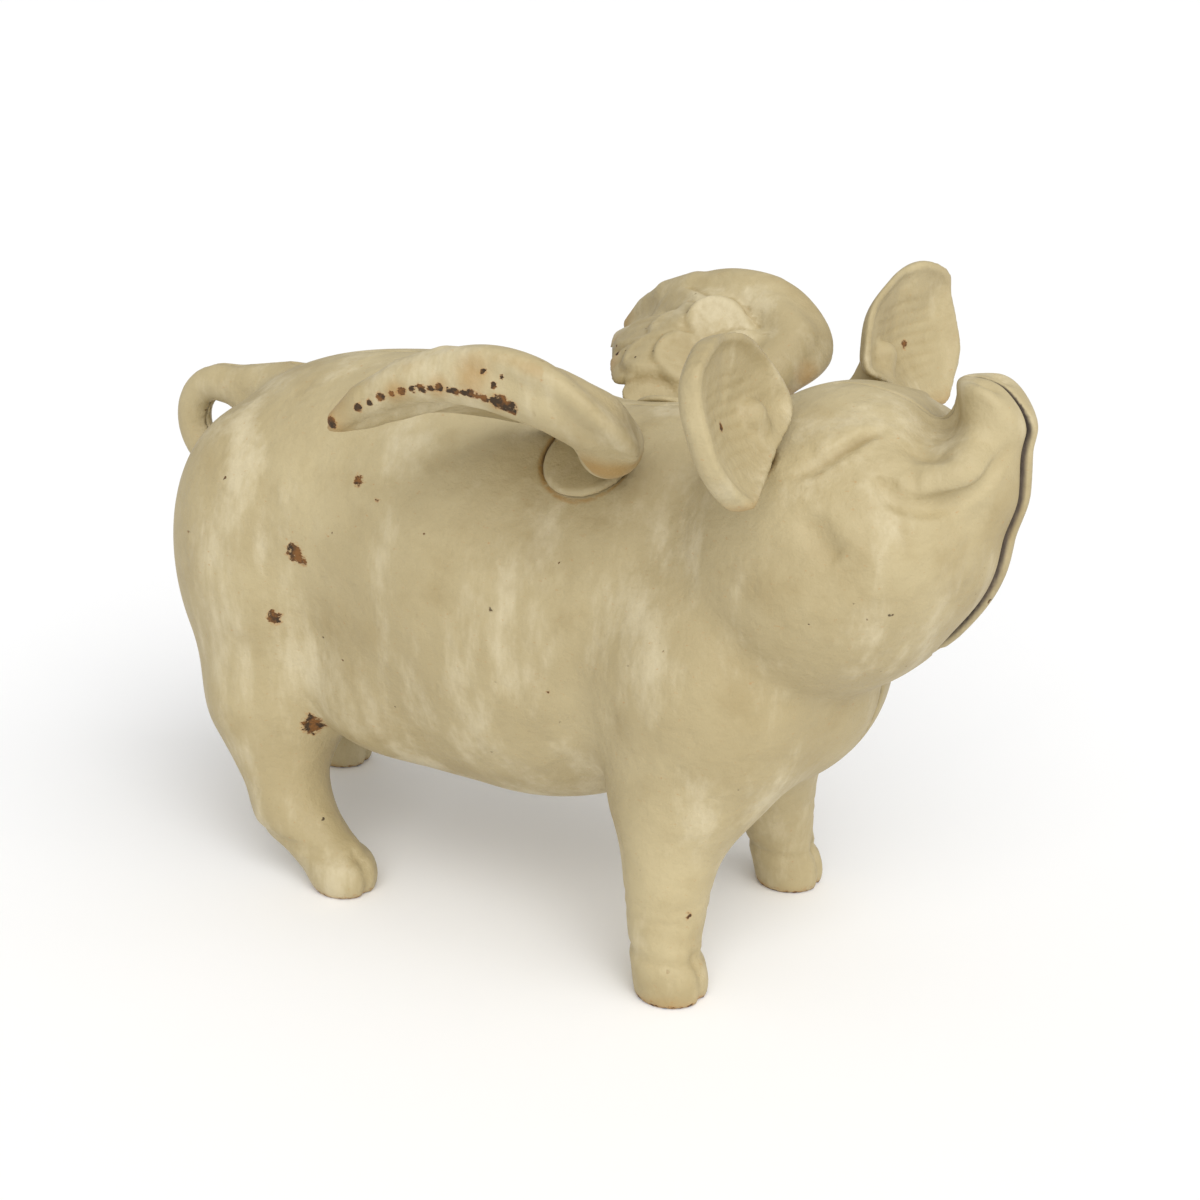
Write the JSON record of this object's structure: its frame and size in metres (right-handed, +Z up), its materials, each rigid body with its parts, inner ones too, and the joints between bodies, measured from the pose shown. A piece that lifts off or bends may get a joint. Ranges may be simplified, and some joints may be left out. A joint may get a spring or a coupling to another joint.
{
  "type": "still bank",
  "caption": "Coin bank in the form of a standing winged pig looking up: hollow mirrored castings joined by a cross screw, coin slot along the back, screwed-on wings and ears.",
  "frame": {"origin": "on the floor, under the middle of the object's length, on the parting line between the two halves", "axes": "+X towards the nose, +Y towards the animal's left side, +Z up"},
  "size_m": [0.2512, 0.1394, 0.17],
  "materials": {
    "body_paint": "aged cream paint on sand-cast iron",
    "wing_paint": "aged cream paint on sand-cast iron",
    "ear_paint": "aged cream paint on sand-cast iron",
    "steel": "dull old steel"
  },
  "bodies": {
    "right_body": {"right_half": "body_paint", "right_wing": "wing_paint", "right_ear": "ear_paint", "right_wing_washer": "steel", "right_wing_screw": "steel", "right_ear_washer": "steel", "right_ear_screw": "steel"},
    "left_body": {"left_half": "body_paint", "left_wing": "wing_paint", "left_ear": "ear_paint", "left_wing_washer": "steel", "left_wing_screw": "steel", "left_ear_washer": "steel", "left_ear_screw": "steel"},
    "closing_washer_body": {"closing_washer": "steel"},
    "closing_screw_body": {"closing_screw": "steel"}
  },
  "joints": [
    {"name": "left_half_slide", "type": "slide", "parent": "right_body", "child": "left_body", "axis": [0, 1, 0], "range_m": [0, 0.09]},
    {"name": "closing_washer_slide", "type": "slide", "parent": "left_body", "child": "closing_washer_body", "axis": [0, 1, 0], "range_m": [0, 0.012]},
    {"name": "closing_screw_turn", "type": "hinge", "parent": "closing_washer_body", "child": "closing_screw_body", "pos_m": [0.0102, 0.0426, 0.088], "axis": [0, 1, 0], "range_deg": [0, 5401]}
  ],
  "couplings": [
    {"joint": "closing_screw_turn", "follows": "closing_washer_slide", "rad_per_m": 7854}
  ]
}
